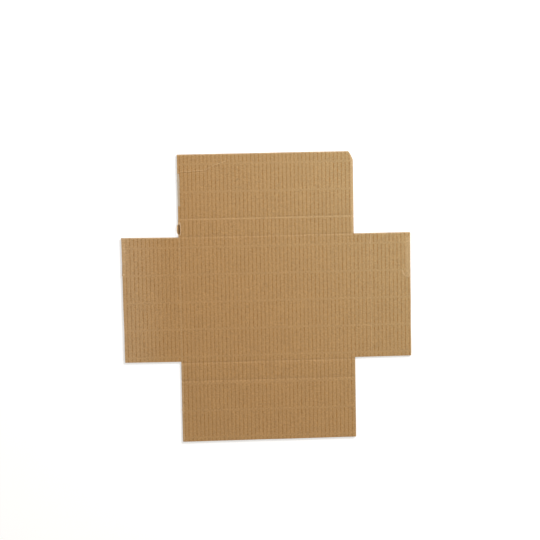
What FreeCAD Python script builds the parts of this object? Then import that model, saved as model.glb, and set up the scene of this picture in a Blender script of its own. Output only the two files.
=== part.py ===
import FreeCAD, Part
import math
import os

# A one-piece corrugated box blank, laid open and flat: a back panel, a flap above, below and at
# each side, and two creases on every side that form a spine between panel and flap. Millimetres.
# X runs across the flutes, Y along them, Z up through the board. The origin is under the middle.

# Corrugated board
caliper = 3.0               # over both liners
liner = 0.3                 # each flat outer sheet
medium = 0.25               # the fluted sheet between the liners
flute_pitch = 5.38          # crest to crest
flank_angle = 50.0          # slope of the fluted sheet, in degrees from the flat
crest_offset = 1.72         # from the panel's middle to the nearest crest under the upper liner
edge_wall = 0.6             # least board left between a flute's channel and an edge along it

# Panels and flaps
panel_width = 240.0         # between the two side folds
panel_height = 173.5        # between the upper and the lower fold
spine_depth = 25.2          # from the upper and the lower fold to the second crease beside each
side_spine_depth = 22.8     # the same beside the two side folds
top_flap = 113.0            # from the upper fold to the free edge
bottom_flap = 109.6         # from the lower fold to the free edge
side_flap = 78.0            # from each side fold to the free edge
side_relief = 2.1           # the side flaps stop this far short of the lower fold

# Creases, pressed into the upper face
crease_width = 4.4
crease_floor_width = 1.0
crease_depth = 0.35         # of those across the flutes
side_crease_depth = 0.15    # of those along the flutes, which take less pressing

# Corners and edges
corner_radius = 0.8
knocked_corner_x = 6.2      # the top flap's knocked corner, along its free edge
knocked_corner_y = 12.0     # and along its side
knocked_corner_bulge = 0.5  # how far the worn edge stands proud of the straight cut
rolled_edge_width = 3.5     # the top flap's right edge, rolled down
rolled_edge_drop = 0.8
worn_edge_width = 1.8       # the bottom flap's left edge, worn down
worn_edge_drop = 0.5

# The split flute beside the upper left notch, and the peeled liner above it
slit_width = 1.7
slit_length = 13.7
slit_inset = 0.5            # from the flap's left edge
slit_above_fold = 4.1
peel_width = 2.8
peel_length = 44.0
peel_depth = 0.12
peel_above_fold = 42.8

# Places worked out from the sizes above
overall_height = top_flap + panel_height + bottom_flap
y_top = overall_height / 2
y_upper_fold = y_top - top_flap
y_lower_fold = y_upper_fold - panel_height
y_bottom = y_lower_fold - bottom_flap
x_fold = panel_width / 2
x_edge = x_fold + side_flap
y_side_top = y_upper_fold
y_side_bottom = y_lower_fold + side_relief
z_crown = caliper - liner - medium          # the top of a channel that stands on the lower liner
overshoot = 1.0                             # cutters run this far past what they cut


def rounded(radius):
    """Corner description of a plain quarter round: run in, run out and rise above the chord."""
    return radius, radius, radius * (1 - 1 / math.sqrt(2))


def outline_face():
    """The blank's outline, anticlockwise from the top flap's left corner."""
    plain = rounded(corner_radius)
    sharp = None
    knocked = (knocked_corner_y, knocked_corner_x, knocked_corner_bulge)
    corners = [
        (-x_fold, y_top, plain), (-x_fold, y_side_top, sharp),
        (-x_edge, y_side_top, plain), (-x_edge, y_side_bottom, plain),
        (-x_fold, y_side_bottom, sharp), (-x_fold, y_bottom, plain),
        (x_fold, y_bottom, plain), (x_fold, y_side_bottom, sharp),
        (x_edge, y_side_bottom, plain), (x_edge, y_side_top, plain),
        (x_fold, y_side_top, sharp), (x_fold, y_top, knocked),
    ]
    edges = []
    ends = []
    for index, (x, y, shape) in enumerate(corners):
        corner = FreeCAD.Vector(x, y, 0)
        if shape is None:
            ends.append((corner, corner))
            continue
        before = FreeCAD.Vector(*corners[index - 1][:2], 0) - corner
        after = FreeCAD.Vector(*corners[(index + 1) % len(corners)][:2], 0) - corner
        run_in, run_out, bulge = shape
        start = corner + before.normalize() * run_in
        end = corner + after.normalize() * run_out
        chord_middle = (start + end) * 0.5
        middle = chord_middle + (corner - chord_middle).normalize() * bulge
        edges.append(Part.Arc(start, middle, end).toShape())
        ends.append((start, end))
    for index, (_, leave) in enumerate(ends):
        arrive = ends[(index + 1) % len(ends)][0]
        edges.append(Part.LineSegment(leave, arrive).toShape())
    return Part.Face(Part.Wire(Part.__sortEdges__(edges)))


def channel_half_widths():
    """Half the width of an open channel at its crown and at its foot on a liner.

    The crown follows from the pitch, so that the slopes of neighbouring channels leave the
    fluted sheet's own thickness between them.
    """
    slope = math.radians(flank_angle)
    crown_overlap = 2 * z_crown - caliper
    crown = (flute_pitch / 2 - medium / math.sin(slope) - crown_overlap / math.tan(slope)) / 2
    foot = crown + (z_crown - liner) / math.tan(slope)
    return crown, foot


def channel(x_centre, under_upper_liner, y_from, y_to):
    """One flute's open channel as a prism along Y, standing on one liner or hung from the other."""
    crown, foot = channel_half_widths()
    section = [(-foot, liner), (-crown, z_crown), (crown, z_crown), (foot, liner)]
    if under_upper_liner:
        section = [(x, caliper - z) for x, z in section]
    points = [FreeCAD.Vector(x_centre + x, y_from, z) for x, z in section]
    return Part.Face(Part.makePolygon(points + points[:1])).extrude(FreeCAD.Vector(0, y_to - y_from, 0))


def channels():
    """Every channel that fits: long ones through the flaps, short ones in the side flaps.

    A flute that a side fold or a cut edge runs along is pressed solid and has no channel.
    """
    margin = channel_half_widths()[1] + edge_wall
    made = []
    steps = math.ceil(2 * x_edge / flute_pitch)
    for half_step in range(-steps, steps + 1):
        x_centre = crest_offset + half_step * flute_pitch / 2
        under_upper_liner = half_step % 2 == 1
        if abs(x_centre) + margin <= x_fold:
            made.append(channel(x_centre, under_upper_liner, y_bottom - overshoot, y_top + overshoot))
        elif x_fold + margin <= abs(x_centre) <= x_edge - margin:
            made.append(channel(x_centre, under_upper_liner,
                                y_side_bottom - overshoot, y_side_top + overshoot))
    return Part.makeCompound(made)


def crease_lines():
    """Creases, each as its middle, its length, its depth and whether it runs along Y."""
    lines = []
    for y_line in (y_upper_fold + spine_depth, y_upper_fold, y_lower_fold, y_lower_fold - spine_depth):
        lines.append((0, y_line, panel_width, crease_depth, False))
    y_middle = (y_side_top + y_side_bottom) / 2
    for x_line in (x_fold, x_fold + side_spine_depth):
        for side in (-1, 1):
            lines.append((side * x_line, y_middle, y_side_top - y_side_bottom, side_crease_depth, True))
    return lines


def crease_prism(line, half_top, half_floor, z_floor, z_top):
    """A straight bar with sloped sides, laid along a crease line."""
    x_middle, y_middle, length, _, along_y = line
    start = -length / 2
    section = [(-half_top, z_top), (-half_floor, z_floor), (half_floor, z_floor), (half_top, z_top)]
    points = [FreeCAD.Vector(start, offset, z) for offset, z in section]
    bar = Part.Face(Part.makePolygon(points + points[:1])).extrude(FreeCAD.Vector(length, 0, 0))
    if along_y:
        bar.rotate(FreeCAD.Vector(0, 0, 0), FreeCAD.Vector(0, 0, 1), 90)
    bar.translate(FreeCAD.Vector(x_middle, y_middle, 0))
    return bar


def crushed_zones():
    """Where the creases press the flutes shut, as bars that the channels stop against."""
    half_width = crease_width / 2 + liner
    return [crease_prism(line, half_width, half_width, caliper - line[3] - liner, caliper)
            for line in crease_lines()]


def crease_grooves():
    """The dents of the creases, open at the upper face and at the edges."""
    half_floor = crease_floor_width / 2
    grooves = []
    for line in crease_lines():
        depth = line[3]
        rise = depth + overshoot
        half_top = half_floor + (crease_width / 2 - half_floor) * rise / depth
        grooves.append(crease_prism(line, half_top, half_floor, caliper - depth, caliper + overshoot))
    return grooves


def edge_wedge(x_outside, inward, width, drop, y_from, y_to):
    """A wedge that bevels a long edge down from the upper face."""
    points = [
        FreeCAD.Vector(x_outside + inward * width, y_from, caliper),
        FreeCAD.Vector(x_outside, y_from, caliper - drop),
        FreeCAD.Vector(x_outside - inward * overshoot, y_from, caliper - drop),
        FreeCAD.Vector(x_outside - inward * overshoot, y_from, caliper + overshoot),
        FreeCAD.Vector(x_outside + inward * width, y_from, caliper + overshoot),
    ]
    return Part.Face(Part.makePolygon(points + points[:1])).extrude(FreeCAD.Vector(0, y_to - y_from, 0))


def worn_edges():
    """The rolled right edge of the top flap and the worn left edge of the bottom flap."""
    return [
        edge_wedge(x_fold, -1, rolled_edge_width, rolled_edge_drop,
                   y_upper_fold + crease_width / 2, y_top + overshoot),
        edge_wedge(-x_fold, 1, worn_edge_width, worn_edge_drop,
                   y_bottom - overshoot, y_lower_fold - crease_width / 2),
    ]


def split_flute():
    """The slit down into the edge flute of the top flap, round at both ends."""
    radius = slit_width / 2
    x_middle = -x_fold + slit_inset + radius
    y_start = y_upper_fold + slit_above_fold
    deep = caliper - liner + overshoot
    straight = Part.makeBox(slit_width, slit_length - slit_width, deep,
                            FreeCAD.Vector(x_middle - radius, y_start + radius, liner))
    ends = [Part.makeCylinder(radius, deep, FreeCAD.Vector(x_middle, y, liner))
            for y in (y_start + radius, y_start + slit_length - radius)]
    return straight.multiFuse(ends).removeSplitter()


def peeled_liner():
    """The shallow strip where the upper liner's surface has come away at the flap's left edge."""
    return Part.makeBox(peel_width + overshoot, peel_length, peel_depth + overshoot,
                        FreeCAD.Vector(-x_fold - overshoot, y_upper_fold + peel_above_fold,
                                       caliper - peel_depth))


def box_blank():
    board = outline_face().extrude(FreeCAD.Vector(0, 0, caliper))
    flutes = channels().cut(crushed_zones())
    board = board.cut(flutes.Solids)
    board = board.cut(crease_grooves() + worn_edges() + [split_flute(), peeled_liner()])
    return board.removeSplitter().Solids[0]


os.makedirs("parts", exist_ok=True)
blank = box_blank()
blank.exportStep("parts/box_blank.step")
print("box_blank", blank.isValid(), len(blank.Shells), "shells", len(blank.Faces), "faces",
      round(blank.Volume, 1), "mm3", blank.BoundBox)
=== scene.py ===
import math

import bpy
import numpy as np
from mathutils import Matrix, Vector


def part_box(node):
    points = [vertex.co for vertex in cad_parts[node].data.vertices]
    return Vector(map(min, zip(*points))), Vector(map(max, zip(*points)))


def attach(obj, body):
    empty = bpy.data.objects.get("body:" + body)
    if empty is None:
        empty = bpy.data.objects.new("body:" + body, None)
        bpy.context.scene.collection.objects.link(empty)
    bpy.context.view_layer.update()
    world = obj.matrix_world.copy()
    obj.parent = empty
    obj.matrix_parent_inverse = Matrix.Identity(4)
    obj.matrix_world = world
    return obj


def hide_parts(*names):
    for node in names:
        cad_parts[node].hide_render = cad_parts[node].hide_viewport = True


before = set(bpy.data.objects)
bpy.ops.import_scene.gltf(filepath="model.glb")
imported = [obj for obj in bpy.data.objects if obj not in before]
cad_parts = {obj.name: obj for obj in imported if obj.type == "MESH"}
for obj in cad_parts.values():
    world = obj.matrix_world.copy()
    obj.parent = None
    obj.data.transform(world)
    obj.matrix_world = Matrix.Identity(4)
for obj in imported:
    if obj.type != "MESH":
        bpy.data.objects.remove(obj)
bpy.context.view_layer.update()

MM = 0.001
NODE = "box_blank"
low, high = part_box(NODE)

# Board, as in the part: two liners with a fluted sheet between them
CALIPER = high[2] - low[2]
LINER = 0.3 * MM
MEDIUM = 0.25 * MM
PITCH = 5.38 * MM
CREST = 1.72 * MM                  # the crest of the fluted sheet nearest the panel's middle

# Panels, flaps and creases, as in the part
X_EDGE = high[0]
Y_TOP = high[1]
Y_BOTTOM = low[1]
Y_MIDDLE = (Y_TOP + Y_BOTTOM) / 2
X_FOLD = 120.0 * MM
Y_UPPER_FOLD = Y_TOP - 113.0 * MM
Y_LOWER_FOLD = Y_BOTTOM + 109.6 * MM
Y_SIDE_BOTTOM = Y_LOWER_FOLD + 2.1 * MM
SPINE = 25.2 * MM
SIDE_SPINE = 22.8 * MM
ROW_CREASES = (Y_UPPER_FOLD + SPINE, Y_UPPER_FOLD, Y_LOWER_FOLD, Y_LOWER_FOLD - SPINE)
COLUMN_CREASES = (-X_FOLD - SIDE_SPINE, -X_FOLD, X_FOLD, X_FOLD + SIDE_SPINE)
CREASE_HALF = 2.2 * MM
CREASE_DEPTH = 0.35 * MM
CREASE_UNEVENNESS = 0.18
COLUMN_CREASE_DEPTH = 0.15 * MM

# Surfaces of the liners
FACE_DROP = 0.04 * MM              # of the upper face below the caliper
FACE_WAVES = 0.05 * MM
WASHBOARD_DEPTH = 0.06 * MM        # how far the upper liner dips over each crest
UNDER_WASHBOARD_DEPTH = 0.05 * MM
FINGER_SPACING = 37.7 * MM         # bands across the board where the washboard fades
FINGER_AT = Y_UPPER_FOLD - 13.7 * MM
FINGER_HALF = 1.3 * MM

# The fluted sheet
MEDIUM_INSET = 0.25 * MM           # from the liners' edges
FLUTE_STEEPNESS = 1.25             # of its waves; near 0 they are plain sines, and higher ones are squarer

# Corners and worn places, as in the part
CORNER_RADIUS = 0.8 * MM
KNOCKED_X = 6.2 * MM
KNOCKED_Y = 12.0 * MM
KNOCKED_POWER = 1.125              # 1 is a straight cut across the corner and 2 is a round one
ROLLED_WIDTH = 3.5 * MM
ROLLED_DROP = 0.8 * MM
WORN_WIDTH = 1.8 * MM
WORN_DROP = 0.5 * MM
SLIT_X = (-X_FOLD + 0.5 * MM, -X_FOLD + 2.2 * MM)
SLIT_Y = (Y_UPPER_FOLD + 4.1 * MM, Y_UPPER_FOLD + 17.8 * MM)
PEEL_WIDTH = 2.8 * MM
PEEL_Y = (Y_UPPER_FOLD + 42.8 * MM, Y_UPPER_FOLD + 86.8 * MM)
PEEL_DEPTH = 0.12 * MM

# Marks in the upper liner, in millimetres from the middle of the blank
WRINKLE = [(-119.5, 172.6), (-115.5, 173.6), (-110.5, 174.8), (-107.5, 173.6), (-103, 174.2), (-92, 174.9),
           (-86.5, 174.9), (-83, 175.4), (-79, 177.0), (-71.1, 181.2), (-65.6, 183.3), (-60.1, 184.9),
           (-54.6, 186.6), (-50.5, 188.2)]
WRINKLE_FADE_X = (-119.5, -75, -58, -50.5)    # where its strength is as in WRINKLE_FADE
WRINKLE_FADE = (1, 0.9, 0.65, 0)
WRINKLE_HALF = 1.25 * MM
WRINKLE_HEIGHT = 0.34 * MM
SCUFF = [(186.3, 33.0), (187.6, 29.2), (189.4, 26.0), (192.2, 23.6), (195.0, 23.8), (197.6, 26.6)]
SCUFF_HALF = 1.0 * MM
FLAW = [(143.1, 85.0), (142.2, 71.2)]         # a pale scratch down the right flap's second crease
FLAW_TAIL = [(142.2, 71.2), (142.8, 61.7), (142.4, 13.3), (142.8, -86.0)]     # its fainter run on
FLAW_HALF = 0.75 * MM
FOLD_SCUFF = [(-118.7, 85.0), (-118.7, -86.0)]
SPOTS = [                          # each with its half width and how pale it is
    (142.2, 71.2, 1.3, 0.75), (-195.6, 35.2, 1.5, 0.75), (-195.8, 83.8, 1.4, 0.6),
    (-194.6, 50.4, 1.9, 0.5), (-195.0, 56.5, 1.6, 0.4), (-194.2, 67.0, 2.6, 0.4),
    (-188.8, 81.5, 1.8, 0.35), (170.5, 76.8, 0.9, 0.4), (183.6, 74.3, 1.2, 0.4),
]
NUBS = [(-120, 162.2), (-119.6, -153.3), (-196.2, 35.2)]      # small torn points of the cut edges
NUB_OUT = 1.1 * MM
NUB_HALF = 1.2 * MM

# Unevenness of the outline: pressed and dented cut edges, and a left flap a little out of square
RIGHT_EDGE_DROP = 0.22 * MM
LEFT_EDGE_DROP = 0.08 * MM
END_EDGE_DROP = 0.12 * MM
SIDE_EDGE_DENT = 0.35 * MM
END_EDGE_DENT = 0.2 * MM
LEFT_FLAP_SKEW = 0.8 * MM
LEFT_FLAP_TAPER = 1.2 * MM

# The slit's lips: the left one bulges out and up, and the right one fades out beside the slit
SLIT_LIP_RISE = 0.4 * MM
SLIT_LIP_WIDTH = 1.6 * MM          # of the right lip
SLIT_LEFT_SHIFT = (-2.2 * MM, -1.4 * MM)      # of the left lip's outer and inner side
SLIT_RIGHT_SHIFT = 0.3 * MM

# The meshes' grid lines beside an edge, in millimetres from it, and those across the slit
EDGE_STEPS = (0.4, 0.9, 1.6)
PLAIN_STEPS = (0.7, 1.6)
KNOCKED_STEPS = (0.7, 1.6, 4, 7, 10, 13.5)
SLIT_ROWS = [SLIT_Y[0] + share * (SLIT_Y[1] - SLIT_Y[0])
             for share in (0, 0.06, 0.14, 0.3, 0.5, 0.7, 0.86, 0.94, 1)]
SHARP_ANGLE = 38                   # degrees; edges sharper than this stay sharp


def rgb(red, green, blue):
    """A colour given as it shows on a screen, 0 to 255, as linear light."""
    def linear(value):
        value /= 255
        return value / 12.92 if value <= 0.04045 else ((value + 0.055) / 1.055) ** 2.4
    return linear(red), linear(green), linear(blue), 1.0


# Colours of the paper, and of the painted sheen and painted light on it
KRAFT = rgb(177, 136, 85)
# Painted sheen: the kraft turns greyer and paler towards the upper right, standing in for the lamp's sheen
# on it
KRAFT_SHEEN = rgb(174, 148, 103)
SHEEN_TOWARDS = math.radians(32)  # anticlockwise from +X
SHEEN_FROM = -0.105               # metres from the middle in that direction
SHEEN_TO = 0.393
LEFT_LIGHT_WIDTH = 70 * MM              # of the left flap, which painted light from the left makes paler towards its edge
LEFT_LIGHT_SHARE = 0.2
LINE_BROWN = rgb(147, 100, 36)
# Pale of worn paper; the same colour paints the highlights along the cut edges and the light on the left
# flap
PALE_WEAR_AND_LIGHT = rgb(222, 192, 152)
FIBRE_GREY = rgb(186, 168, 144)
FLUTE_BROWN = rgb(150, 112, 72)

# Unevenness of the paper: the scale of each noise, and how much it changes the colour's lightness
CLOUD_SCALE = 30.0
CLOUD_TONE = 0.12
GRAIN_SCALE = 900.0
GRAIN_TONE = 1.35
FIBRE_SCALE = 2400.0
FIBRE_TONE = 0.10
SPECK_SCALE = 760.0
SPECK_TONE = 0.14
FUZZ_SCALE = 480.0                 # of the ragged look of rubbed places
FIBRE_RELIEF = 0.03 * MM
LINER_ROUGHNESS = 0.55
MEDIUM_ROUGHNESS = 0.85

# The broken dark lines over the crests
LINE_HALF = 0.62 * MM
LINE_SOFT = 0.35 * MM
LINE_WANDER = 1.0 * MM
LINE_SHARE = 0.97
FLUTE_APART = 0.37                 # metres between two flutes' rows in the noise, so that none repeats

# Floor, surroundings and lamp
FLOOR_WHITE = 0.72
FLOOR_LIFT = 0.52
FLOOR_HALF = 6.0
FLOOR_BELOW = 0.05 * MM
WORLD_LEVEL = 0.42
WORLD_TINT = (1.0, 0.95, 0.88, 1.0)
WHITE = (1.0, 1.0, 1.0, 1.0)
KEY_PLACE = (0.75, 0.95, 0.95)
KEY_SIZE = 0.6
KEY_POWER = 20.0

# The photograph's camera, measured on the blank's own corners: nearly square to it
FOCAL_PX = 2000.0
PHOTO_PX = 540
CAMERA_DISTANCE = 2.7367
CAMERA_AIM = (4.1 * MM, 37.5 * MM, CALIPER)
CAMERA_TILT = (-6.647, -4.054, -0.957)


def waves(x, y, size, seed):
    """Smooth seeded unevenness of about -1 to 1; size is the usual length of a bump."""
    draw = np.random.default_rng(seed)
    total = np.zeros(np.broadcast(x, y).shape)
    count = 9
    for _ in range(count):
        angle = draw.uniform(0, math.pi)
        length = size * draw.uniform(0.7, 2.0)
        phase = draw.uniform(0, 2 * math.pi)
        total += np.sin(2 * math.pi * (x * math.cos(angle) + y * math.sin(angle)) / length + phase)
    return total / math.sqrt(count)


def fade(distance, width):
    """1 on a line or edge, falling smoothly to 0 at the given width."""
    t = np.clip(np.abs(distance) / width, 0, 1)
    return (1 - t * t) ** 2


def strip(distance, width, soft):
    """1 up to a width from an edge, falling to 0 over the soft width."""
    return 1 - np.clip((distance - width) / soft, 0, 1)


def inside(x, y, inset=0):
    """Whether points lie within the cross of panel and flaps, or that far inside its edges."""
    in_column = np.abs(x) < X_FOLD - inset
    in_side = (y > Y_SIDE_BOTTOM + inset) & (y < Y_UPPER_FOLD - inset)
    return in_column | in_side


def in_slit(x, y):
    """Whether points lie in the slit beside the upper left notch."""
    return (x > SLIT_X[0]) & (x < SLIT_X[1]) & (y > SLIT_Y[0]) & (y < SLIT_Y[1])


def edge_distances(x, y):
    """Distance to the nearest free edge along the flutes, and to the nearest one across them."""
    in_flap = (y > Y_UPPER_FOLD) | (y < Y_SIDE_BOTTOM)
    far = np.full(np.broadcast(x, y).shape, 1.0)
    in_side = np.abs(x) > X_FOLD
    along = np.where(in_flap, np.abs(X_FOLD - np.abs(x)), np.where(in_side, X_EDGE - np.abs(x), far))
    to_top = np.where(in_side, Y_UPPER_FOLD, Y_TOP) - y
    to_bottom = y - np.where(in_side, Y_SIDE_BOTTOM, Y_BOTTOM)
    return along, np.minimum(to_top, to_bottom)


def crease_depth(x, y):
    """Depth of the pressed creases below the upper face."""
    depth = np.zeros(np.broadcast(x, y).shape)
    unevenness = 1 + CREASE_UNEVENNESS * waves(x, y, 30 * MM, 3)
    across_panel = fade(np.maximum(np.abs(x) - X_FOLD + 0.5 * MM, 0), 1.5 * MM)
    for line in ROW_CREASES:
        half = np.where(y > line, 1.15, 0.95) * CREASE_HALF
        depth = np.maximum(depth, CREASE_DEPTH * unevenness * fade(y - line, half) * across_panel)
    beside = np.maximum(np.maximum(y - Y_UPPER_FOLD, Y_SIDE_BOTTOM - y), 0)
    for line in COLUMN_CREASES:
        groove = fade(x - line, CREASE_HALF) * fade(beside, 1.5 * MM)
        depth = np.maximum(depth, COLUMN_CREASE_DEPTH * unevenness * groove)
    return depth


def finger_band(y):
    """1 in the middle of the bands where the washboard fades, 0 between them."""
    steps = (y - FINGER_AT) / FINGER_SPACING
    return fade((steps - np.round(steps)) * FINGER_SPACING, FINGER_HALF * 1.6)


def washboard(x, y):
    """Dip of the liner over each crest of the fluted sheet, uneven from flute to flute."""
    steps = (x - CREST) / PITCH
    valley = (0.5 + 0.5 * np.cos(2 * math.pi * steps)) ** 1.4
    strength = 1 + 0.35 * waves(np.round(steps) * 37 * MM, y, 26 * MM, 5)
    return WASHBOARD_DEPTH * valley * strength * (1 - finger_band(y))


def line_distance(x, y, points):
    """Distance from a line through the given points."""
    nearest = np.full(np.broadcast(x, y).shape, 1.0)
    points = np.array(points) * MM
    for (x0, y0), (x1, y1) in zip(points, points[1:]):
        along = ((x - x0) * (x1 - x0) + (y - y0) * (y1 - y0)) / ((x1 - x0) ** 2 + (y1 - y0) ** 2)
        along = np.clip(along, 0, 1)
        aside = np.hypot(x - x0 - along * (x1 - x0), y - y0 - along * (y1 - y0))
        nearest = np.minimum(nearest, aside)
    return nearest


def wrinkle(x, y):
    """Height of the sharp ridge of the wrinkle, with a dip along its lower side."""
    strength = np.interp(x, np.array(WRINKLE_FADE_X) * MM, WRINKLE_FADE)
    strength = strength * (1 + 0.12 * waves(x, y * 0, 9 * MM, 14))
    ridge = fade(line_distance(x, y, WRINKLE), WRINKLE_HALF)
    dip = fade(line_distance(x, y + WRINKLE_HALF, WRINKLE), WRINKLE_HALF)
    on_flap = strip(-X_FOLD - x, 0, 1 * MM)
    return WRINKLE_HEIGHT * strength * (ridge - 0.8 * dip) * on_flap


def edge_drop(x, y):
    """How far the cut edges are pressed down, most on the rolled and the worn one."""
    along, across = edge_distances(x, y)
    along_drop = np.where(x > 0, RIGHT_EDGE_DROP, LEFT_EDGE_DROP)
    drop = along_drop * fade(along, 1.2 * MM) + END_EDGE_DROP * fade(across, 0.8 * MM)
    top_flap = fade(np.maximum(Y_UPPER_FOLD + 6 * MM - y, 0), 6 * MM)
    inward = np.maximum(X_FOLD - x, 0)
    rolled = ROLLED_DROP * np.clip(1 - inward / ROLLED_WIDTH, 0, 1) * top_flap
    bottom_flap = fade(np.maximum(y - Y_LOWER_FOLD + 5 * MM, 0), 4 * MM)
    inward = np.maximum(x + X_FOLD, 0)
    worn = WORN_DROP * np.clip(1 - inward / WORN_WIDTH, 0, 1) * bottom_flap
    in_side = np.abs(x) > X_FOLD
    return np.maximum(drop, np.where(in_side, 0, rolled + worn))


def slit_length(y):
    """1 along the split flute, falling to 0 just past its ends."""
    t = np.abs(y - (SLIT_Y[0] + SLIT_Y[1]) / 2) / (SLIT_Y[1] - SLIT_Y[0])
    return 1 - np.clip(t / 0.53, 0, 1) ** 4


def slit_lips(x, y):
    """Rise and sideways shift of the liner on both sides of the split flute."""
    left = x < (SLIT_X[0] + SLIT_X[1]) / 2
    near = np.abs(x + X_FOLD) < 6 * MM
    beside = fade(x - SLIT_X[1], SLIT_LIP_WIDTH)
    rise = SLIT_LIP_RISE * np.where(left, 1, beside)
    outward = np.interp(x, [-X_FOLD, SLIT_X[0]], SLIT_LEFT_SHIFT)
    shift = np.where(left, outward, SLIT_RIGHT_SHIFT * beside)
    return np.where(near, rise, 0) * slit_length(y), np.where(near, shift, 0) * slit_length(y)


def peel_dip(x, y):
    """The shallow strip where the liner's surface has come away at the top flap's left edge."""
    ragged = PEEL_WIDTH * (1 + 0.12 * waves(x * 0, y, 7 * MM, 8))
    in_strip = (x + X_FOLD < ragged) & (y > PEEL_Y[0]) & (y < PEEL_Y[1])
    return np.where(in_strip, PEEL_DEPTH * (1 + 0.3 * waves(x, y, 2.5 * MM, 9)), 0)


def top_height(x, y):
    """Height of the upper liner's outer surface."""
    flatness = FACE_WAVES * waves(x, y, 45 * MM, 2)
    rise, _ = slit_lips(x, y)
    creased = crease_depth(x, y)
    plain = 1 - np.clip(creased / (0.5 * CREASE_DEPTH), 0, 1)
    return (CALIPER - FACE_DROP + flatness - washboard(x, y) * plain - creased
            - edge_drop(x, y) - peel_dip(x, y) + wrinkle(x, y) + rise)


def rubbed_and_lit(x, y):
    """How much the liner is scuffed pale, 0 to 1: along cut edges and creases, and at the marks. Along the
    top and right cut edges, the rolled edge and the slit's lips it is partly painted highlight.
    """
    along, across = edge_distances(x, y)
    in_side = np.abs(x) > X_FOLD
    in_top = (y > Y_UPPER_FOLD) & ~in_side
    in_bottom = (y < Y_LOWER_FOLD) & ~in_side
    from_left = x + np.where(in_side, X_EDGE, X_FOLD)
    from_right = np.where(in_side, X_EDGE, X_FOLD) - x
    from_top = np.where(in_side, Y_UPPER_FOLD, Y_TOP) - y
    crosswise = np.minimum.reduce([np.abs(y - line - 0.5 * MM) for line in ROW_CREASES])
    on_left = x < 0
    # How pale, times where: up to a width from an edge, and fading over the soft width beyond it
    worn = [
        # The top cut edges' pale line: frayed fibres, and partly painted highlight where the edge catches
        # the lamp
        0.70 * strip(from_top, 0.7 * MM, 0.9 * MM),
        0.30 * strip(across, 0.3 * MM, 0.6 * MM),
        0.40 * strip(along, 0.4 * MM, 0.8 * MM),
        # The right flap's outer edge: partly painted highlight on the edge that faces the lamp
        0.62 * strip(from_right, 0.7 * MM, 0.7 * MM) * (x > X_FOLD),
        # The rolled edge's strip: crushed flute, and partly painted highlight on its slope towards the lamp
        0.33 * strip(from_right, ROLLED_WIDTH - 0.6 * MM, 0.9 * MM) * in_top,
        0.33 * strip(from_top, 2.6 * MM, 1.2 * MM) * in_top * (from_right < KNOCKED_X),
        0.40 * strip(from_left, 2.2 * MM, 1.0 * MM) * in_bottom,
        0.04 * fade(crosswise, 2.8 * MM) * (np.abs(x) < X_FOLD),
    ]
    total = np.maximum.reduce(worn) * (0.8 + 0.2 * waves(x, y, 9 * MM, 31))
    blotches = 0.17 + np.where(on_left, 0.13, 0.06) * np.clip(waves(x, y, 3 * MM, 33), -1, 1)
    from_slit = np.maximum(SLIT_X[0] - x, x - SLIT_X[1])
    marks = [
        blotches * faded(x, y),
        # The slit's pale lips: partly painted highlight on the raised lips
        0.65 * strip(from_slit, 0.8 * MM, 0.5 * MM) * (slit_length(y) > 0.02) * on_left,
        (0.36 + 0.16 * waves(x, y, 4 * MM, 34)) * fade(line_distance(x, y, SCUFF), SCUFF_HALF),
        0.50 * fade(line_distance(x, y, FLAW), FLAW_HALF),
        0.24 * fade(line_distance(x, y, FLAW_TAIL), FLAW_HALF),
        0.13 * fade(line_distance(x, y, FOLD_SCUFF), 2 * FLAW_HALF),
        0.12 * fade(line_distance(x, y - 0.8 * MM, WRINKLE), WRINKLE_HALF),
    ]
    for spot_x, spot_y, half, pale in SPOTS:
        marks.append(pale * fade(np.hypot(x - spot_x * MM, y - spot_y * MM), half * MM))
    for nub_x, nub_y in NUBS:
        marks.append(fade(np.hypot(x - nub_x * MM, y - nub_y * MM), 1.3 * NUB_HALF))
    return np.clip(np.maximum(total, np.maximum.reduce(marks)), 0, 1)


def faded(x, y):
    """Where the dark lines have worn off and the paper is blotched, at the side flaps' outer edges."""
    below = Y_UPPER_FOLD - y
    left = strip(x + X_EDGE, 4.5 * MM, 3 * MM) * strip(below, 34 * MM, 22 * MM)
    right = strip(X_EDGE - x, 5 * MM, 4 * MM) * strip(np.abs(below - 33 * MM), 24 * MM, 7 * MM)
    return np.maximum(left * (x < -X_FOLD), right * (x > X_FOLD))


def round_corner(x, y, corner_x, corner_y, run_x, run_y, power):
    """Draws the points of a square corner in to a worn or rounded one."""
    u = 1 - (corner_x - x) * np.sign(corner_x) / run_x
    v = 1 - (corner_y - y) * np.sign(corner_y - Y_MIDDLE) / run_y
    near = (u > 0) & (v > 0) & (u < 1.001) & (v < 1.001)
    u = np.where(near, u, 0.5)
    v = np.where(near, v, 0.5)
    scale = np.maximum(u, v) / (u ** power + v ** power) ** (1 / power)
    moved_x = corner_x - (1 - u * scale) * run_x * np.sign(corner_x)
    moved_y = corner_y - (1 - v * scale) * run_y * np.sign(corner_y - Y_MIDDLE)
    return np.where(near, moved_x, x), np.where(near, moved_y, y)


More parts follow.
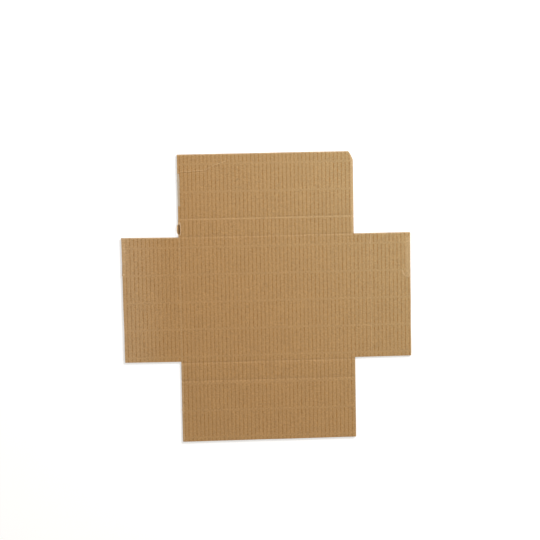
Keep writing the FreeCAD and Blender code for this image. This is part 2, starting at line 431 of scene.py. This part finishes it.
def worn_outline(x, y):
    """Moves points of the plain cross so that its corners and edges are as worn as the real ones."""
    side_dent = SIDE_EDGE_DENT * (0.5 + 0.5 * np.clip(waves(x * 0, y, 38 * MM, 21), -1, 1))
    x = x - side_dent * np.sign(x) * fade(X_EDGE - np.abs(x), 5 * MM) * (np.abs(x) > X_FOLD + 5 * MM)
    end_dent = END_EDGE_DENT * (0.5 + 0.5 * np.clip(waves(x, y * 0, 60 * MM, 22), -1, 1))
    y = y - end_dent * (fade(Y_TOP - y, 5 * MM) - fade(y - Y_BOTTOM, 5 * MM))
    outward = np.clip((-X_FOLD - x) / (X_EDGE - X_FOLD), 0, 1)
    downward = np.clip((Y_UPPER_FOLD - y) / (Y_UPPER_FOLD - Y_SIDE_BOTTOM), 0, 1)
    y = y + LEFT_FLAP_SKEW * outward
    x = x + LEFT_FLAP_TAPER * outward * downward
    for nub_x, nub_y in NUBS:
        near = fade(np.hypot(np.maximum(x - nub_x * MM, 0), y - nub_y * MM), NUB_HALF)
        x = x - NUB_OUT * near * (np.abs(x - nub_x * MM) < 3 * MM)
    for side in (-1, 1):
        for y_end in (Y_UPPER_FOLD, Y_SIDE_BOTTOM):
            x, y = round_corner(x, y, side * X_EDGE, y_end, CORNER_RADIUS, CORNER_RADIUS, 2)
        x, y = round_corner(x, y, side * X_FOLD, Y_BOTTOM, CORNER_RADIUS, CORNER_RADIUS, 2)
    x, y = round_corner(x, y, -X_FOLD, Y_TOP, CORNER_RADIUS, CORNER_RADIUS, 2)
    return round_corner(x, y, X_FOLD, Y_TOP, KNOCKED_X, KNOCKED_Y, KNOCKED_POWER)


def grid_lines(start, stop, step, keep):
    """Positions from start to stop, about one step apart, that include all of keep."""
    keep = sorted({start, stop, *[k for k in keep if start < k < stop]})
    lines = []
    for a, b in zip(keep, keep[1:]):
        parts = max(1, round((b - a) / step))
        lines.extend(a + (b - a) * i / parts for i in range(parts))
    return np.array(lines + [stop])


def around(centre, offsets):
    """Positions on both sides of a centre line, and on it."""
    return [centre] + [centre + side * offset * MM for offset in offsets for side in (-1, 1)]


def thinned(lines, keep, gap):
    """Drops the lines that lie closer than gap to the one before, but never one of keep."""
    fixed = set(keep) | {lines[0], lines[-1]}
    kept = [lines[0]]
    for value in lines[1:]:
        if value - kept[-1] >= gap or (value in fixed and kept[-1] in fixed):
            kept.append(value)
        elif value in fixed:
            kept[-1] = value
    return np.array(kept)


def upper_lines():
    """Fine grid lines across and along the upper liner, and the cuts and folds among them."""
    x_cuts = [-X_FOLD, X_FOLD, *SLIT_X]
    y_cuts = [Y_UPPER_FOLD, Y_SIDE_BOTTOM, *SLIT_ROWS]
    x_folds = [line + side * CREASE_HALF for line in COLUMN_CREASES for side in (-1, 0, 1)]
    y_folds = [line + side * CREASE_HALF for line in ROW_CREASES for side in (-1, 0, 1)]
    fine_x = x_cuts + x_folds + [-X_FOLD + PEEL_WIDTH]
    fine_y = y_cuts + y_folds + list(PEEL_Y)
    for x_edge in (-X_EDGE, -X_FOLD, X_FOLD, X_EDGE):
        fine_x += around(x_edge, EDGE_STEPS)
    for y_edge in (Y_TOP, Y_UPPER_FOLD, Y_SIDE_BOTTOM, Y_BOTTOM):
        fine_y += around(y_edge, EDGE_STEPS)
    for line in COLUMN_CREASES:
        fine_x += around(line, (0.7, 1.4))
    for line in ROW_CREASES:
        fine_y += around(line, (0.5, 1.0, 1.5))
    first = math.ceil((Y_BOTTOM - FINGER_AT) / FINGER_SPACING)
    last = math.floor((Y_TOP - FINGER_AT) / FINGER_SPACING)
    for step in range(first, last + 1):
        fine_y += around(FINGER_AT + step * FINGER_SPACING, (0.9, 1.8))
    for line, half in ((WRINKLE, WRINKLE_HALF), (SCUFF, SCUFF_HALF)):
        heights = [height * MM for _, height in line]
        fine_y += np.arange(min(heights) - 2 * half, max(heights) + 1.5 * half, 0.45 * half).tolist()
    fine_x += [aside * MM for aside in np.arange(SCUFF[0][0] - 1, SCUFF[-1][0], 0.7)]
    fine_x += around(FLAW[0][0] * MM, (0.5,)) + around(FLAW[1][0] * MM, (0.5,))
    for _, height in NUBS:
        fine_y += around(height * MM, (0.5, 1.0, 1.5))
    for aside, height, _, _ in SPOTS:
        fine_x += around(aside * MM, (0.6,))
        fine_y += around(height * MM, (0.7,))
    first = math.ceil((-X_EDGE - CREST) / PITCH)
    last = math.floor((X_EDGE - CREST) / PITCH)
    for flute in range(first, last + 1):
        fine_x += [CREST + (flute + share) * PITCH for share in (0, 0.13, 0.3, 0.5, 0.7, 0.87)]
    xs = thinned(grid_lines(-X_EDGE, X_EDGE, 1.3 * MM, fine_x), x_cuts + x_folds, 0.42 * MM)
    ys = thinned(grid_lines(Y_BOTTOM, Y_TOP, 4.0 * MM, fine_y), y_cuts + y_folds, 0.42 * MM)
    return xs, ys, x_cuts + x_folds, y_cuts + y_folds


def coarse_places(lines, needed, stride):
    """Places of every few lines, of the needed ones and of both ends."""
    return sorted({*range(0, len(lines), stride), *np.nonzero(np.isin(lines, needed))[0].tolist(),
                   len(lines) - 1})


def closed_sheet(xs, ys, columns, rows, keep):
    """Faces of a closed sheet: a fine face, a coarse one behind it and the cut edges between.

    columns and rows are the places of the coarse face's lines. Returns the grid places of all
    points, how many of them are fine, and the faces.
    """
    kept = keep((xs[:-1, None] + xs[1:, None]) / 2, (ys[None, :-1] + ys[None, 1:]) / 2)
    kept = np.pad(kept, 1)
    places = []
    fine = {}
    back = {}

    def point(table, place):
        if place not in table:
            table[place] = len(places)
            places.append(place)
        return table[place]

    faces = []
    for i, j in np.argwhere(kept[1:-1, 1:-1]).tolist():
        corners = ((i, j), (i + 1, j), (i + 1, j + 1), (i, j + 1))
        faces.append([point(fine, corner) for corner in corners])
    fine_count = len(places)
    for i0, i1 in zip(columns, columns[1:]):
        for j0, j1 in zip(rows, rows[1:]):
            if not kept[i0 + 1, j0 + 1]:
                continue
            faces.append([point(back, corner) for corner in ((i0, j0), (i0, j1), (i1, j1), (i1, j0))])
            sides = (
                (kept[i0, j0 + 1], [(i0, j) for j in range(j0, j1 + 1)]),
                (kept[i0 + 1, j0], [(i, j0) for i in range(i1, i0 - 1, -1)]),
                (kept[i1 + 1, j0 + 1], [(i1, j) for j in range(j1, j0 - 1, -1)]),
                (kept[i0 + 1, j1 + 1], [(i, j1) for i in range(i0, i1 + 1)]),
            )
            for goes_on, run in sides:
                if not goes_on:
                    cut = [fine[place] for place in run]
                    faces.append([point(back, run[0]), *cut, point(back, run[-1])])
    return np.array(places), fine_count, faces


def add_piece(name, points, faces, material):
    """A smooth-shaded piece with its sharp edges marked, in place of the plain board."""
    mesh = bpy.data.meshes.new(name)
    mesh.from_pydata(points.tolist(), [], faces)
    mesh.shade_smooth()
    mesh.set_sharp_from_angle(angle=math.radians(SHARP_ANGLE))
    mesh.materials.append(material)
    piece = bpy.data.objects.new(name, mesh)
    bpy.context.collection.objects.link(piece)
    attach(piece, "root")
    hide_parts(NODE)
    return piece


def upper_liner(material):
    """The liner that faces up, with washboard, creases and wear, and with the painted edge highlights."""
    xs, ys, needed_x, needed_y = upper_lines()
    columns = coarse_places(xs, needed_x, 4)
    rows = coarse_places(ys, needed_y, 6)
    places, fine_count, faces = closed_sheet(
        xs, ys, columns, rows, lambda x, y: inside(x, y) & ~in_slit(x, y))
    x = xs[places[:, 0]]
    y = ys[places[:, 1]]
    z = top_height(x, y)
    z[fine_count:] -= LINER
    pale_wear_and_highlights = {"rub_and_highlight": rubbed_and_lit(x, y), "faded": faded(x, y)}
    x, y = worn_outline(x + slit_lips(x, y)[1], y)
    piece = add_piece("upper_liner", np.column_stack((x, y, z)), faces, material)
    for name, values in pale_wear_and_highlights.items():
        layer = piece.data.attributes.new(name, "FLOAT", "POINT")
        layer.data.foreach_set("value", values.astype(np.float32))
    return piece


def lower_liner(material):
    """The liner that the blank lies on, with a fainter washboard underneath."""
    x_cuts = [-X_FOLD, X_FOLD]
    y_cuts = [Y_UPPER_FOLD, Y_SIDE_BOTTOM, *SLIT_ROWS]
    fine_x = x_cuts + around(-X_EDGE, PLAIN_STEPS) + around(X_EDGE, PLAIN_STEPS) + [X_FOLD - KNOCKED_X]
    fine_y = y_cuts + around(Y_TOP, KNOCKED_STEPS) + around(Y_BOTTOM, PLAIN_STEPS)
    xs = grid_lines(-X_EDGE, X_EDGE, PITCH / 4, fine_x)
    ys = grid_lines(Y_BOTTOM, Y_TOP, 8 * MM, fine_y)
    columns = coarse_places(xs, x_cuts, 4)
    rows = coarse_places(ys, y_cuts, 1)
    places, fine_count, faces = closed_sheet(xs, ys, columns, rows, inside)
    x = xs[places[:, 0]]
    y = ys[places[:, 1]]
    steps = (x - CREST) / PITCH
    z = UNDER_WASHBOARD_DEPTH * (0.5 - 0.5 * np.cos(2 * math.pi * steps))
    z[fine_count:] = LINER
    x, y = worn_outline(x + slit_lips(x, y)[1], y)
    return add_piece("lower_liner", np.column_stack((x, y, z)), [face[::-1] for face in faces], material)


def fluted_medium(material):
    """The fluted sheet, seen in the flutes' open ends and pressed down under the creases."""
    x_cuts = [-X_FOLD + MEDIUM_INSET, X_FOLD - MEDIUM_INSET, *SLIT_X]
    y_cuts = [Y_UPPER_FOLD - MEDIUM_INSET, Y_SIDE_BOTTOM + MEDIUM_INSET, *SLIT_Y]
    xs = grid_lines(-X_EDGE + MEDIUM_INSET, X_EDGE - MEDIUM_INSET, PITCH / 14, x_cuts)
    fine_y = list(y_cuts)
    for line in ROW_CREASES:
        fine_y += around(line, (0.8, 1.5))
    fine_y += around(Y_TOP, KNOCKED_STEPS) + around(Y_BOTTOM, PLAIN_STEPS)
    ys = grid_lines(Y_BOTTOM + MEDIUM_INSET, Y_TOP - MEDIUM_INSET, 60 * MM, fine_y)
    ys = thinned(ys, y_cuts, 0.3 * MM)

    def keep(x, y):
        """All but the split flute, open from the slit to the edge."""
        return inside(x, y, MEDIUM_INSET) & ~in_slit(np.maximum(x, SLIT_X[0] + MEDIUM_INSET), y)

    places, fine_count, faces = closed_sheet(xs, ys, list(range(len(xs))), list(range(len(ys))), keep)
    x = xs[places[:, 0]]
    y = ys[places[:, 1]]
    phase = 2 * math.pi * (x - CREST) / PITCH
    crest = FLUTE_STEEPNESS * np.cos(phase)
    rise = 0.5 + 0.5 * np.tanh(crest) / math.tanh(FLUTE_STEEPNESS)
    height = top_height(x, y) - 2 * LINER - MEDIUM
    z = LINER + MEDIUM / 2 + height * rise
    slope = (-0.5 * FLUTE_STEEPNESS * np.sin(phase) * 2 * math.pi / PITCH * height
             / np.cosh(crest) ** 2 / math.tanh(FLUTE_STEEPNESS))
    length = np.sqrt(1 + slope ** 2)
    half = np.where(np.arange(len(x)) < fine_count, MEDIUM / 2, -MEDIUM / 2)
    x, y = worn_outline(x - half * slope / length, y)
    return add_piece("fluted_medium", np.column_stack((x, y, z + half / length)), faces, material)


class Nodes:
    """Short helpers that add nodes to one material or to the surroundings."""

    def __init__(self, name):
        self.material = bpy.data.materials.new(name)
        self.material.use_nodes = True
        self.tree = self.material.node_tree
        self.shader = self.tree.nodes["Principled BSDF"]

    @classmethod
    def on(cls, tree):
        """The same helpers on a node tree that is already there."""
        helpers = cls.__new__(cls)
        helpers.tree = tree
        return helpers

    def add(self, kind, inputs, **settings):
        """A node with its settings, and its named or numbered inputs from sockets or plain values."""
        node = self.tree.nodes.new(kind)
        for key, value in settings.items():
            setattr(node, key, value)
        for key, value in inputs.items():
            self.feed(node.inputs[key], value)
        return node

    def feed(self, socket, value):
        """Links a socket to an input, or sets the input to a plain value."""
        if isinstance(value, bpy.types.NodeSocket):
            self.tree.links.new(value, socket)
        else:
            socket.default_value = value

    def calc(self, operation, *values):
        """Result of a Math node."""
        return self.add("ShaderNodeMath", dict(enumerate(values)), operation=operation).outputs[0]

    def position(self):
        """The position as a vector, and its X, Y and Z in metres."""
        coordinates = self.add("ShaderNodeTexCoord", {})
        parts = self.add("ShaderNodeSeparateXYZ", {0: coordinates.outputs["Object"]})
        return coordinates.outputs["Object"], parts.outputs[0], parts.outputs[1], parts.outputs[2]

    def stretched(self, vector, scale):
        """The position scaled unevenly, so that a noise on it is drawn out."""
        node = self.add("ShaderNodeVectorMath", {0: vector, 1: scale}, operation="MULTIPLY")
        return node.outputs[0]

    def scaled(self, colour, factor):
        """A colour made lighter or darker."""
        return self.add("ShaderNodeVectorMath", {0: colour[:3] if isinstance(colour, tuple) else colour,
                                                 "Scale": factor}, operation="SCALE").outputs[0]

    def noise(self, vector, scale, detail=2.0, roughness=0.5):
        """Noise of about 0 to 1."""
        node = self.add("ShaderNodeTexNoise", {"Vector": vector, "Scale": scale, "Detail": detail,
                                               "Roughness": roughness})
        return node.outputs[0]

    def ramp(self, value, low, high, to_low=0.0, to_high=1.0):
        """A smooth step from to_low at low to to_high at high."""
        node = self.add("ShaderNodeMapRange", {0: value, 1: low, 2: high, 3: to_low, 4: to_high},
                        interpolation_type="SMOOTHSTEP")
        return node.outputs[0]

    def mix(self, share, first, second):
        """Two colours mixed, the second by its share."""
        return self.add("ShaderNodeMix", {0: share, 6: first, 7: second}, data_type="RGBA").outputs[2]

    def bump(self, height, distance):
        """Normal of a fine relief that is distance high."""
        node = self.add("ShaderNodeBump", {"Height": height, "Distance": distance, "Strength": 1.0})
        return node.outputs[0]


def within(nodes, value, low_edge, high_edge, soft):
    """1 between two edges, falling to 0 over the soft width outside them."""
    above = nodes.ramp(value, low_edge - soft, low_edge)
    below = nodes.ramp(value, high_edge, high_edge + soft, 1.0, 0.0)
    return nodes.calc("MULTIPLY", above, below)


def paper(nodes, vector, colour):
    """Paper's clouds, grain, fibres and specks over a colour. Returns the colour and a fibre height."""
    clouds = nodes.noise(vector, CLOUD_SCALE, 3.0, 0.55)
    grain = nodes.noise(nodes.stretched(vector, (1.0, 1.3, 1.0)), GRAIN_SCALE, 2.0, 0.6)
    fibres = nodes.noise(nodes.stretched(vector, (0.3, 1.0, 1.0)), FIBRE_SCALE, 3.0, 0.6)
    specks = nodes.noise(nodes.stretched(vector, (1.0, 0.6, 1.0)), SPECK_SCALE, 1.0, 0.4)
    tone = nodes.calc("MULTIPLY_ADD", clouds, CLOUD_TONE, 1.0 - (CLOUD_TONE + GRAIN_TONE + FIBRE_TONE) / 2)
    tone = nodes.calc("MULTIPLY_ADD", grain, GRAIN_TONE, tone)
    tone = nodes.calc("MULTIPLY_ADD", fibres, FIBRE_TONE, tone)
    tone = nodes.calc("SUBTRACT", tone, nodes.ramp(specks, 0.72, 0.80, 0.0, SPECK_TONE))
    return nodes.scaled(colour, tone), fibres


def finish_paper(nodes, colour, height, rough):
    """Connects the colour and the fibres' fine relief to the shader."""
    nodes.feed(nodes.shader.inputs["Base Color"], colour)
    nodes.shader.inputs["Roughness"].default_value = rough
    nodes.shader.inputs["Specular IOR Level"].default_value = 0.5
    nodes.feed(nodes.shader.inputs["Normal"], nodes.bump(height, FIBRE_RELIEF))
    return nodes.material


def flute_lines(nodes, x, y):
    """Broken dark lines over the crests, one row of dashes and dots to each, a little wandering."""
    steps = nodes.calc("DIVIDE", nodes.calc("SUBTRACT", x, CREST), PITCH)
    flute = nodes.calc("ROUND", steps)
    row = nodes.add("ShaderNodeCombineXYZ", {0: nodes.calc("MULTIPLY", flute, FLUTE_APART), 1: y}).outputs[0]
    wander = nodes.calc("MULTIPLY", nodes.calc("SUBTRACT", nodes.noise(row, 90.0, 2.0), 0.5), LINE_WANDER)
    aside = nodes.calc("MULTIPLY", nodes.calc("SUBTRACT", steps, flute), PITCH)
    away = nodes.calc("ABSOLUTE", nodes.calc("ADD", aside, wander))
    line = nodes.ramp(away, LINE_HALF - LINE_SOFT, LINE_HALF + LINE_SOFT, 1.0, 0.0)
    dots = nodes.ramp(nodes.noise(row, 560.0, 2.0, 0.6), 0.36, 0.62, 0.30, 1.0)
    longer = nodes.ramp(nodes.noise(row, 55.0, 1.0), 0.30, 0.62, 0.70, 1.0)
    return nodes.calc("MULTIPLY", line, nodes.calc("MULTIPLY", dots, longer))


def finger_mask(nodes, vector, y):
    """1 in the bands where the flutes' marks fade, with edges that waver from flute to flute."""
    ripple = nodes.calc("SUBTRACT", nodes.noise(vector, 190.0, 1.0), 0.5)
    wavering = nodes.calc("MULTIPLY_ADD", ripple, 1.8 * MM, y)
    steps = nodes.calc("DIVIDE", nodes.calc("SUBTRACT", wavering, FINGER_AT), FINGER_SPACING)
    off = nodes.calc("ABSOLUTE", nodes.calc("SUBTRACT", steps, nodes.calc("ROUND", steps)))
    away = nodes.calc("MULTIPLY", off, FINGER_SPACING)
    return nodes.ramp(away, 0.5 * FINGER_HALF, 1.5 * FINGER_HALF, 1.0, 0.0)


def peel_mask(nodes, vector, x, y, z):
    """1 on the strip where the liner's face has come away, with torn ragged edges."""
    torn = nodes.calc("MULTIPLY", nodes.calc("SUBTRACT", nodes.noise(vector, 420.0, 2.0), 0.5), 1.4 * MM)
    torn_x = nodes.calc("ADD", x, torn)
    torn_y = nodes.calc("ADD", y, torn)
    across = within(nodes, torn_x, -X_EDGE, -X_FOLD + PEEL_WIDTH, 0.25 * MM)
    along = within(nodes, torn_y, PEEL_Y[0], PEEL_Y[1], 0.25 * MM)
    on_top = nodes.ramp(z, CALIPER - 1.3 * MM, CALIPER - 1.0 * MM)
    return nodes.calc("MULTIPLY", nodes.calc("MULTIPLY", across, along), on_top)


def liner_material():
    """Kraft liner with the broken dark line over each crest, and with its worn places, a painted sheen
    towards the upper right, painted light on the left flap and painted highlights along the cut edges.
    """
    nodes = Nodes("kraft_liner")
    vector, x, y, z = nodes.position()
    rub_and_highlight = nodes.add("ShaderNodeAttribute", {}, attribute_name="rub_and_highlight").outputs["Fac"]
    fuzz = nodes.noise(vector, FUZZ_SCALE, 3.0, 0.7)
    rub_and_highlight = nodes.calc("MULTIPLY", rub_and_highlight, nodes.ramp(fuzz, 0.30, 0.62, 0.55, 1.2))
    gone = nodes.add("ShaderNodeAttribute", {}, attribute_name="faded").outputs["Fac"]

    kept = nodes.calc("SUBTRACT", 1.0, finger_mask(nodes, vector, y))
    kept = nodes.calc("MULTIPLY", kept, nodes.ramp(rub_and_highlight, 0.2, 0.6, 1.0, 0.2))
    kept = nodes.calc("MULTIPLY", kept, nodes.calc("MULTIPLY_ADD", gone, -0.85, 1.0))
    lines = nodes.calc("MULTIPLY", flute_lines(nodes, x, y), kept)
    # Painted sheen: greyer and paler kraft towards the upper right
    aside = nodes.calc("MULTIPLY", x, math.cos(SHEEN_TOWARDS))
    aside = nodes.calc("MULTIPLY_ADD", y, math.sin(SHEEN_TOWARDS), aside)
    colour = nodes.mix(nodes.ramp(aside, SHEEN_FROM, SHEEN_TO), KRAFT, KRAFT_SHEEN)
    # Painted light from the left: the left flap paler towards its outer edge
    left_light = nodes.ramp(x, -X_EDGE, -X_EDGE + LEFT_LIGHT_WIDTH, LEFT_LIGHT_SHARE, 0.0)
    colour = nodes.mix(left_light, colour, PALE_WEAR_AND_LIGHT)
    colour = nodes.mix(nodes.calc("MULTIPLY", lines, LINE_SHARE), colour, LINE_BROWN)
    # Pale wear, with painted highlights along the cut edges and the slit's lips
    colour = nodes.mix(rub_and_highlight, colour, PALE_WEAR_AND_LIGHT)
    colour, fibres = paper(nodes, vector, colour)
    torn = nodes.scaled(FIBRE_GREY, nodes.calc("MULTIPLY_ADD", fuzz, 0.5, 0.75))
    colour = nodes.mix(peel_mask(nodes, vector, x, y, z), colour, torn)
    return finish_paper(nodes, colour, fibres, LINER_ROUGHNESS)


def medium_material():
    """The fluted sheet's plainer, darker paper."""
    nodes = Nodes("fluting_paper")
    vector, _, _, _ = nodes.position()
    colour, fibres = paper(nodes, vector, FLUTE_BROWN)
    return finish_paper(nodes, colour, fibres, MEDIUM_ROUGHNESS)


def seen_by_camera(nodes):
    """1 where the camera, a reflection or a view through glass looks straight at something."""
    rays = nodes.add("ShaderNodeLightPath", {}).outputs
    shown = nodes.calc("MAXIMUM", rays["Is Camera Ray"], rays["Is Glossy Ray"])
    return nodes.calc("MAXIMUM", shown, rays["Is Transmission Ray"])


def floor_material():
    """White floor that keeps the object's shadow and shows white to the camera."""
    nodes = Nodes("white_floor")
    nodes.shader.inputs["Base Color"].default_value = (FLOOR_WHITE, FLOOR_WHITE, FLOOR_WHITE, 1.0)
    nodes.shader.inputs["Roughness"].default_value = 0.9
    nodes.shader.inputs["Specular IOR Level"].default_value = 0.0
    nodes.shader.inputs["Emission Color"].default_value = WHITE
    lift = nodes.calc("MULTIPLY", seen_by_camera(nodes), FLOOR_LIFT)
    nodes.feed(nodes.shader.inputs["Emission Strength"], lift)
    return nodes.material


def make_floor():
    """A wide plane just under the blank."""
    mesh = bpy.data.meshes.new("floor")
    corners = [(-FLOOR_HALF, -FLOOR_HALF, 0), (FLOOR_HALF, -FLOOR_HALF, 0),
               (FLOOR_HALF, FLOOR_HALF, 0), (-FLOOR_HALF, FLOOR_HALF, 0)]
    mesh.from_pydata(corners, [], [(0, 1, 2, 3)])
    mesh.materials.append(floor_material())
    floor = bpy.data.objects.new("floor", mesh)
    bpy.context.collection.objects.link(floor)
    floor.location.z = low[2] - FLOOR_BELOW


def light_scene():
    """White surroundings and one soft lamp from the upper right."""
    world = bpy.data.worlds.new("studio")
    bpy.context.scene.world = world
    world.use_nodes = True
    nodes = Nodes.on(world.node_tree)
    background = world.node_tree.nodes["Background"]
    shown = seen_by_camera(nodes)
    nodes.feed(background.inputs["Color"], nodes.mix(shown, WORLD_TINT, WHITE))
    level = nodes.calc("MULTIPLY_ADD", shown, 1.0 - WORLD_LEVEL, WORLD_LEVEL)
    nodes.feed(background.inputs["Strength"], level)

    lamp = bpy.data.lights.new("key", "AREA")
    lamp.size = KEY_SIZE
    lamp.energy = KEY_POWER
    key = bpy.data.objects.new("key", lamp)
    key.location = KEY_PLACE
    key.rotation_euler = Vector(KEY_PLACE).to_track_quat("Z", "Y").to_euler()
    bpy.context.collection.objects.link(key)


def make_camera():
    """The photograph's camera, aimed at the blank's face."""
    data = bpy.data.cameras.new("photo_camera")
    data.sensor_width = 36.0
    data.lens = data.sensor_width * FOCAL_PX / PHOTO_PX
    camera = bpy.data.objects.new("photo_camera", data)
    camera.rotation_euler = [math.radians(angle) for angle in CAMERA_TILT]
    backward = camera.rotation_euler.to_matrix() @ Vector((0, 0, 1))
    camera.location = Vector(CAMERA_AIM) + backward * CAMERA_DISTANCE
    bpy.context.collection.objects.link(camera)
    bpy.context.scene.camera = camera


make_camera()
light_scene()
make_floor()
liner = liner_material()
upper_liner(liner)
lower_liner(liner)
fluted_medium(medium_material())
bpy.context.scene.view_settings.view_transform = "Standard"
